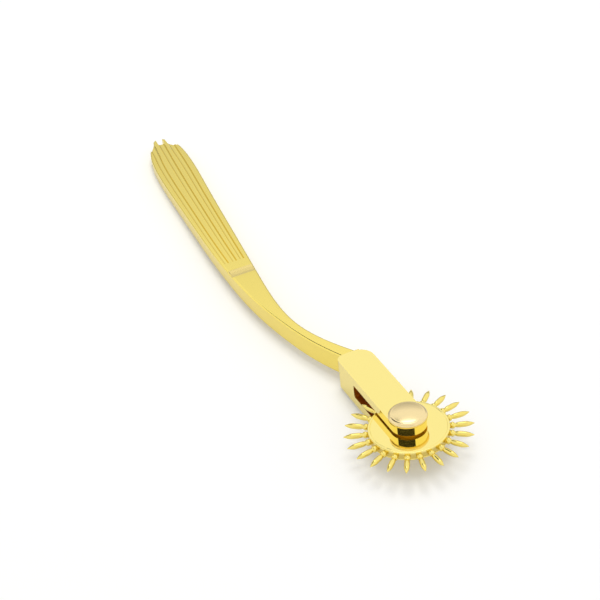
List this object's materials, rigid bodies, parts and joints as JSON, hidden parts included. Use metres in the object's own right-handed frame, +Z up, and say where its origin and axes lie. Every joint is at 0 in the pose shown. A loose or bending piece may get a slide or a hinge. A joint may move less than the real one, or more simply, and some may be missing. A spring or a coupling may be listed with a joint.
{
  "type": "spiked pin wheel",
  "caption": "Hand-held pin wheel: a free-turning wheel of radial pins on a capped axle in a slotted fork, at the end of a flat, bent and fluted metal handle.",
  "frame": {"origin": "on the wheel's axis, at the flat face of the axle's underside head, on which the tool lies", "axes": "+Z up along the wheel's axis, +X from the wheel along the fork to the grip, +Y to the side that the handle's neck swings out to"},
  "size_m": [0.1839, 0.0308, 0.0113],
  "materials": {
    "handle_gold": "polished gold plate",
    "fork_gold": "mirror polished gold plate",
    "disc_gold": "mirror polished gold plate",
    "core_gold": "polished gold plate",
    "pin_gold": "polished gold plate",
    "axle_champagne": "polished pale gold plate",
    "washer_brass": "plain",
    "bush_brass": "plain"
  },
  "bodies": {
    "frame": {"handle": "handle_gold", "fork": "fork_gold", "axle_screw": "axle_champagne", "axle_cap": "axle_champagne", "upper_thrust_washer": "washer_brass", "lower_thrust_washer": "washer_brass"},
    "wheel": {"upper_wheel_disc": "disc_gold", "lower_wheel_disc": "disc_gold", "wheel_core": "core_gold", "wheel_bush": "bush_brass", "pin_01": "pin_gold", "pin_02": "pin_gold", "pin_03": "pin_gold", "pin_04": "pin_gold", "pin_05": "pin_gold", "pin_06": "pin_gold", "pin_07": "pin_gold", "pin_08": "pin_gold", "pin_09": "pin_gold", "pin_10": "pin_gold", "pin_11": "pin_gold", "pin_12": "pin_gold", "pin_13": "pin_gold", "pin_14": "pin_gold", "pin_15": "pin_gold", "pin_16": "pin_gold", "pin_17": "pin_gold", "pin_18": "pin_gold", "pin_19": "pin_gold", "pin_20": "pin_gold", "pin_21": "pin_gold", "pin_22": "pin_gold"}
  },
  "joints": [
    {"name": "wheel_spin", "type": "hinge", "parent": "frame", "child": "wheel", "pos_m": [0, 0, 0.00565], "axis": [0, 0, 1], "continuous": true}
  ]
}
